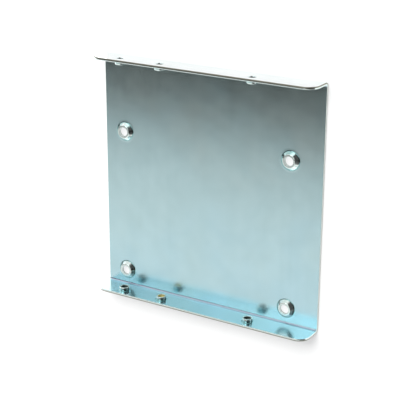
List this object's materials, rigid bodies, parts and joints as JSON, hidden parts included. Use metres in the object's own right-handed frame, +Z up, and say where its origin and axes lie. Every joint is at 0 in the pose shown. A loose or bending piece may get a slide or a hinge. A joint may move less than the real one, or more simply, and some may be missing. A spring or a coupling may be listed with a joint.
{
  "type": "drive bay adapter bracket",
  "caption": "Folded steel tray: a flat web between two short flanges, with pressed-up screw seats for a small drive and tapped collars for the side screws of a larger bay.",
  "frame": {"origin": "middle of the web's lower face, the face that the bracket lies on", "axes": "+X along the folds towards the end that the drive's connector faces, +Y across the folds towards the flange that is further from the seats, +Z up from the web, the way the flanges and the seats stand"},
  "size_m": [0.1, 0.1016, 0.012],
  "materials": {
    "zinc_plated_steel": "bright zinc plating with a clear blue passivation, half gloss"
  },
  "bodies": {
    "root": {"bracket": "zinc_plated_steel"}
  },
  "joints": []
}
